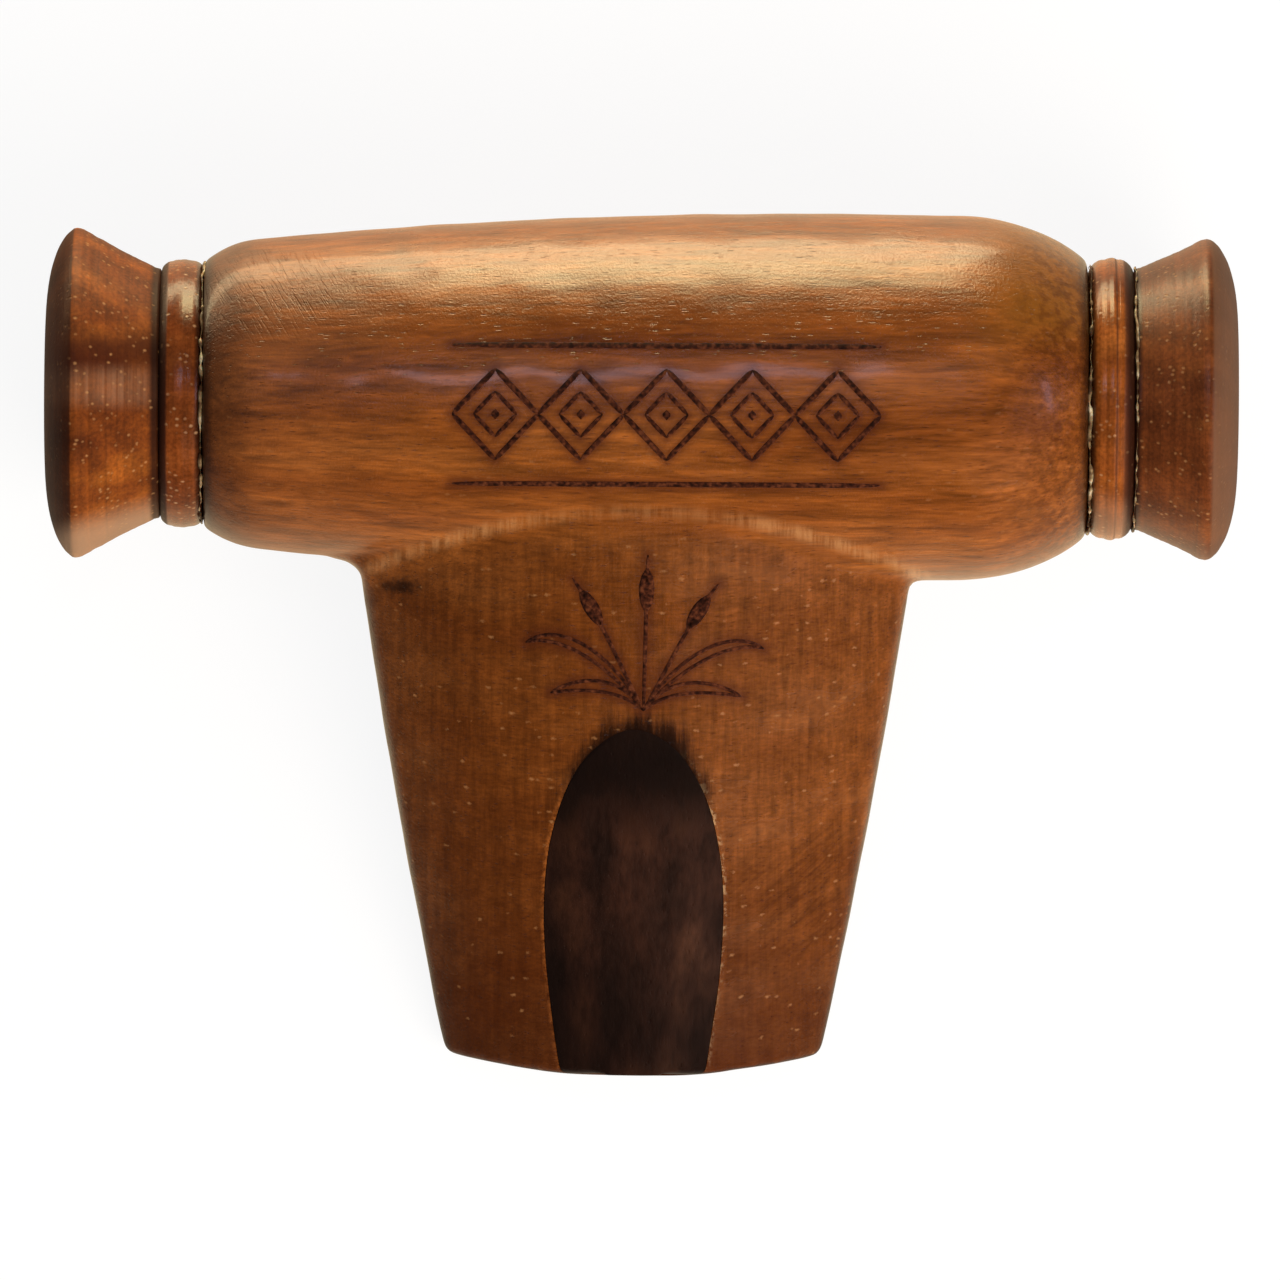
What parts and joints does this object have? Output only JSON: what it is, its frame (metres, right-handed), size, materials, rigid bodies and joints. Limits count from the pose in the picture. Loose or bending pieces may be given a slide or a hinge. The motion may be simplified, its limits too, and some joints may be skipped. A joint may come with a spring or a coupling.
{
  "type": "bird call",
  "caption": "T-shaped wooden duck whistle: crowned barrel with bead rings and flared bells, bevelled beak stem with a dark airway block, and a loose cork pea inside.",
  "frame": {"origin": "middle of the whistle's length and height, on the plane of its flat back", "axes": "+X along the barrel to the right as the bevelled face is looked at, +Y from the beak's tip to the barrel, +Z out of the bevelled face; the whistle lies on its back"},
  "size_m": [0.0952, 0.0693, 0.028],
  "materials": {
    "body_wood": "oiled and rubbed, satin",
    "block_wood": "dark, oiled, satin",
    "ring_wood": "oiled, satin",
    "bell_wood": "oiled, satin",
    "cork": "bare cork, matt"
  },
  "bodies": {
    "whistle": {"tee_body": "body_wood", "airway_block": "block_wood", "left_bead_ring": "ring_wood", "right_bead_ring": "ring_wood", "left_end_bell": "bell_wood", "right_end_bell": "bell_wood"},
    "pea": {"cork_pea": "cork"}
  },
  "joints": [
    {"name": "pea_orbit", "type": "hinge", "parent": "whistle", "child": "pea", "pos_m": [-0.00038, 0.01995, 0.01335], "axis": [1, 0, 0], "continuous": true}
  ]
}
